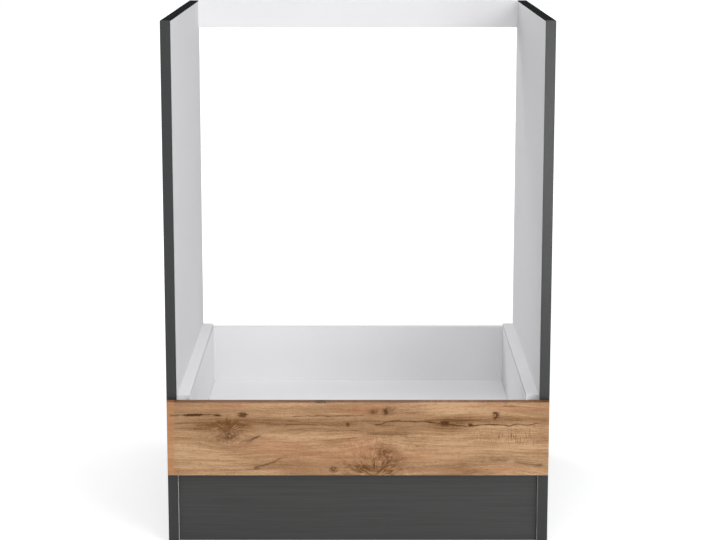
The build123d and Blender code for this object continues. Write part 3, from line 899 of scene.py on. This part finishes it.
sunk_screw, domed_screw, ball_bolt = [
    screw_recipe(shape + "_screw", shape) for shape in ("sunk", "domed", "ball")]
print("a screw has", len(screw_sizes), "sizes")

# %% [markdown]
# A rivet is a low dome with a hollow middle. A cam is a short drum with a cross recess in its face
# and a bore from the side, where it grips the head of its bolt. A dowel has flutes, so that glue
# and air can pass, and a star-shaped profile that is drawn along a line gives them.

# %% Rivet, cam and dowel recipes
above_seat = -0.001
rivet = Recipe("rivet", ["Length", "Head radius", "Head height", "Shank radius", "Bore radius"])
length, head_radius, head, shank, bore = list(rivet.given.values())[1:-1]
hollow = rivet.bar(above_seat, head * 0.9, bore, bore)
rivet.serve(rivet.cut(rivet.dome(head, head_radius), hollow),
            rivet.bar(head, length, shank, shank))

bore_start, bore_end = -0.02, 0.0021  # from the cam's axis, outwards and past it
sideways = (0, math.pi / 2, 0)
cam = Recipe("cam", ["Depth", "Radius", "Bore radius", "Bore depth"])
depth, radius, bore, bore_depth = list(cam.given.values())[1:-1]
upright = cam.bar(bore_start, bore_end, bore, bore)
lying = cam.node("GeometryNodeTransform", {}, upright, None, sideways)
cam.serve(cam.cut(cam.cross(cam.bar(0.0, depth, radius, radius)), cam.lowered(lying, bore_depth)))

flutes = 20
dowel = Recipe("dowel", ["Length", "Radius", "Flute depth"])
length, radius, flute = list(dowel.given.values())[1:-1]
end = dowel.node("ShaderNodeCombineXYZ", {}, 0.0, 0.0, 0 - length)
ribs = dowel.node("GeometryNodeCurveStar", {}, flutes, radius - flute, radius)
line = dowel.node("GeometryNodeCurvePrimitiveLine", {}, None, end)
dowel.serve(dowel.node("GeometryNodeCurveToMesh", {}, line, ribs, 1.0, True))
print("recipes:", [tree.name for tree in bpy.data.node_groups])

# %% [markdown]
# Each CAD node names its recipe and its sizes in millimetres. The sizes never pass the CAD solid,
# so nothing new can touch a moving part. Recess angles differ from screw to screw, as they do when
# a person drives them. A cam turns its bore to the side panel that it pulls on.

# %% Sizes of the hardware
wood_screw = {"Head radius": 3.6, "Neck radius": 1.9, "Thread radius": 1.9, "Ridge": 0.4,
              "Pitch": 1.5, "Point length": 4, "Point radius": 0.2}
pan_screw = {**wood_screw, "Head height": 2, "Neck end": 3}
flat_screw = {**wood_screw, "Head height": 1.2, "Neck end": 2.2}
cam_bolt = {"Head radius": 3.2, "Head height": 4, "Neck radius": 2.2, "Neck end": 26,
            "Thread radius": 3, "Ridge": 0.6, "Pitch": 2.4, "Point length": 1, "Point radius": 1.4}
hollow_rivet = {"Head radius": 3, "Head height": 1.2, "Shank radius": 1.5, "Bore radius": 0.8}
hardware = {
    "batten_screws": (sunk_screw, zinc, {**wood_screw, "Head height": 2.2, "Neck end": 12}),
    "runner_screws": (domed_screw, zinc, flat_screw),
    "front_bracket_screws": (domed_screw, zinc, pan_screw),
    "drawer_back_screws": (domed_screw, zinc, pan_screw),
    "drawer_bottom_screws": (domed_screw, zinc, flat_screw),
    "corner_block_screws": (domed_screw, zinc, pan_screw),
    "cam_bolts": (ball_bolt, zinc, cam_bolt),
    "bracket_rivets": (rivet, zinc, hollow_rivet),
    "cam_housings": (cam, cast_zinc,
                     {"Depth": 12, "Radius": 7.4, "Bore radius": 3.3, "Bore depth": 8}),
    "wood_dowels": (dowel, beech, {"Radius": 4, "Flute depth": 0.3}),
}
bodies = frame["record"]["behaviour"]["bodies"]
body_of = {node: body for body, nodes in bodies.items() for node in nodes}
slot_of = {part["node"]: part["material_slot"] for part in frame["record"]["subparts"]}
print("hardware nodes:", len(hardware))

# %% Points of the seats
chance = random.Random(4)


def seats_of(node):
    """The seats of a CAD node, each with a turn vector. Cams look down, or to the rear."""
    seats = [Seat(points) for points in solids(node)]
    for seat in seats:
        if node == "cam_housings":
            seat.sign = -1 if seat.axis == 2 else 1
            seat.turn = Vector((math.copysign(1, seat.middle.x), 0, 0))
        else:
            seat.turn = Vector([chance.uniform(-1, 1) for _ in range(3)])
    return seats


def seat_points(node, seats):
    """A carrier object with one point for each seat, and the seats' vectors as attributes."""
    mesh = bpy.data.meshes.new(node + "_seats")
    mesh.from_pydata([seat.place() for seat in seats], [], [])
    vectors = {"facing": [seat.facing() for seat in seats], "turn": [seat.turn for seat in seats]}
    for name, values in vectors.items():
        attribute = mesh.attributes.new(name, "FLOAT_VECTOR", "POINT")
        for index, vector in enumerate(values):
            attribute.data[index].vector = vector
    carrier = bpy.data.objects.new(node + "_seats", mesh)
    bpy.context.scene.collection.objects.link(carrier)
    return carrier


# %% Build the hardware
def build_hardware(node, recipe, finish, sizes):
    """Build a recipe on the seats of a CAD node, and let the result stand for the node."""
    seats = seats_of(node)
    carrier = seat_points(node, seats)
    modifier = carrier.modifiers.new("recipe", "NODES")
    modifier.node_group = recipe.tree
    values = {"Length": seats[0].half_length * 2, "Finish": finish.material}
    values.update((label, size / 1000) for label, size in sizes.items())
    for socket in recipe.tree.interface.items_tree:
        if socket.in_out == "INPUT" and socket.name in values:
            modifier[socket.identifier] = values[socket.name]
    evaluated = carrier.evaluated_get(bpy.context.evaluated_depsgraph_get())
    made = bpy.data.meshes.new_from_object(evaluated)
    carrier.modifiers.clear()
    bpy.data.objects.remove(carrier)
    piece = bpy.data.objects.new(node + "_made", made)
    bpy.context.scene.collection.objects.link(piece)
    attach(piece, body_of[node])
    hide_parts(node)
    return piece


for node, (recipe, finish, sizes) in hardware.items():
    piece = build_hardware(node, recipe, finish, sizes)
    low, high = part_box(node)
    beyond = max(max(low[i] - vertex.co[i], vertex.co[i] - high[i])
                 for vertex in piece.data.vertices for i in range(3))
    print(node, len(piece.data.polygons), "faces, beyond the CAD box by",
          round(beyond * 1000, 3), "mm")

# %% [markdown]
# ## Floor
# The floor is a plain pale sheet that takes the shadow of the unit. The picture's white ground
# comes from Light Path: rays from the camera, and rays that reflect in gloss or pass through glass,
# see a floor that is lifted to white, while the light that falls on the object stays at a plain
# level. Near the unit the lift is small, so that its shadow shows, and further off the floor fades
# into the white of the world.


# %% White ground
class Backdrop(Graph):
    """Helps a tree to ask whether a ray should see the white ground."""

    def __init__(self, tree):
        self.tree = tree

    def seen(self):
        camera_ray, glossy_ray, through_ray = [
            self.node("ShaderNodeLightPath", {}, output=name)
            for name in ("Is Camera Ray", "Is Glossy Ray", "Is Transmission Ray")]
        return camera_ray.larger(glossy_ray).larger(through_ray)


# %% Floor
floor_reach = 14
near_lift, far_lift = 0.5, 1.0
near_edge, far_edge = 1.0, 4.0
floor_mesh = bpy.data.meshes.new("floor")
corners = [(-floor_reach, -floor_reach, 0), (floor_reach, -floor_reach, 0),
           (floor_reach, floor_reach, 0), (-floor_reach, floor_reach, 0)]
floor_mesh.from_pydata(corners, [], [(0, 1, 2, 3)])
floor = bpy.data.objects.new("floor", floor_mesh)
bpy.context.scene.collection.objects.link(floor)

floor_paint = Finish("floor_paint", {"Base Color": (0.8, 0.8, 0.8, 1), "Emission Strength": 1.0,
                                     "Roughness": 0.9, "Specular IOR Level": 0.0})
distance = floor_paint.vector("LENGTH", floor_paint.point, output="Value")
lift = distance.ramp(near_edge, far_edge) * (far_lift - near_lift) + near_lift
seen_lift = Backdrop(floor_paint.tree).seen() * lift
floor_paint.vary("Emission Color", floor_paint.blend(seen_lift, (0, 0, 0), (1, 1, 1)))
floor_mesh.materials.append(floor_paint.material)
floor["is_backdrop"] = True
print("floor reaches", floor_reach, "m each way")

# %% [markdown]
# ## World
# The world asks the same question. Where the camera, gloss or glass looks into it, it is white, and
# for every other ray it is a weak even light that only softens the shadows of the lamps.

# %% World
ambient = 0.3
world = bpy.data.worlds.new("studio")
bpy.context.scene.world = world
world.use_nodes = True
sky = Backdrop(world.node_tree)
background = world.node_tree.nodes["Background"]
background.inputs["Color"].default_value = (1, 1, 1, 1)
level = sky.node("ShaderNodeMapRange", {}, sky.seen(), 0.0, 1.0, ambient, 1.0)
world.node_tree.links.new(level.socket, background.inputs["Strength"])
print("world lights the object at", ambient)

# %% [markdown]
# ## Lamps
# The light of the photograph is soft and comes mostly from the upper right of the camera, because
# the right end of the drawer is darker than the left. A small low lamp on the right makes the sheen
# of the right graphite edge, which is brighter than the left one. Each softbox is an area lamp. Its
# power is what balances one face of the unit against the others.


# %% Lamps
def softbox(name, place, target, size, power):
    """A square lamp that points at a target."""
    lamp = bpy.data.lights.new(name, "AREA")
    lamp.size = size
    lamp.energy = power
    holder = bpy.data.objects.new(name, lamp)
    holder.location = place
    holder.rotation_euler = (Vector(target) - Vector(place)).to_track_quat("-Z", "Y").to_euler()
    bpy.context.scene.collection.objects.link(holder)


softbox("key", place=(2.2, -3.0, 2.4), target=(0, 0, 0.4), size=2.0, power=54)
softbox("side", place=(1.6, -3.2, 1.0), target=(0, 0, 0.5), size=1.2, power=12)
softbox("low", place=(0.95, -3.35, 0.3), target=(0, 0, 0.4), size=0.5, power=13)
softbox("front", place=(-0.2, -4.2, 2.4), target=(0, 0, 0.4), size=2.0, power=40)
softbox("top", place=(0.2, -0.4, 3.2), target=(0, 0, 0.2), size=1.6, power=24)
softbox("rear", place=(-1.7, 2.1, 1.5), target=(0, 0, 0.5), size=1.4, power=28)
print("lamps give", sum(lamp.energy for lamp in bpy.data.lights), "watts together")

# %% [markdown]
# ## Dress the unit
# The record of the part says which slot each node belongs to, so one table from slots to finishes
# dresses all CAD nodes. Two kinds of node need a finish of their own: the top bands, which look
# darker than the front ones because they have no gloss and a colour that differs from the front
# ones as painted light and shade, and the bottom board, whose rear edge is raw.

# %% Dress the CAD nodes
finishes = {
    "side_board": side_board, "plinth_board": plinth_board, "graphite_band": front_band,
    "white_board": white_melamine, "white_hardboard": white_melamine,
    "white_band": white_melamine, "oak_board": oak, "oak_band": oak, "white_steel": white_steel,
    "zinc_steel": zinc, "cam_zinc": cast_zinc, "nylon": nylon, "block_plastic": block_plastic,
    "dowel_wood": beech,
}


def dress(name, finish):
    """Give a finish to a CAD node."""
    mesh = frame["nodes"][name].data
    mesh.materials.clear()
    mesh.materials.append(finish.material)


for node, slot in slot_of.items():
    dress(node, finishes[slot])
for side in ("left", "right"):
    dress(f"side_top_band_{side}", top_band)
dress("bottom_panel", bottom_board)
print("dressed", len(slot_of), "nodes from", len(finishes), "slots")

# %% [markdown]
# ## Sizes
# A finish must not change the size of the unit. The box of the CAD model and the box of everything
# that is now visible are put side by side, and the visible one is printed.

# %% Sizes
visual_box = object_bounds()
sizes = {"cad": [list(corner) for corner in cad_box],
         "visual": [list(corner) for corner in visual_box]}
print("visual box", [[round(v, 4) for v in corner] for corner in visual_box])
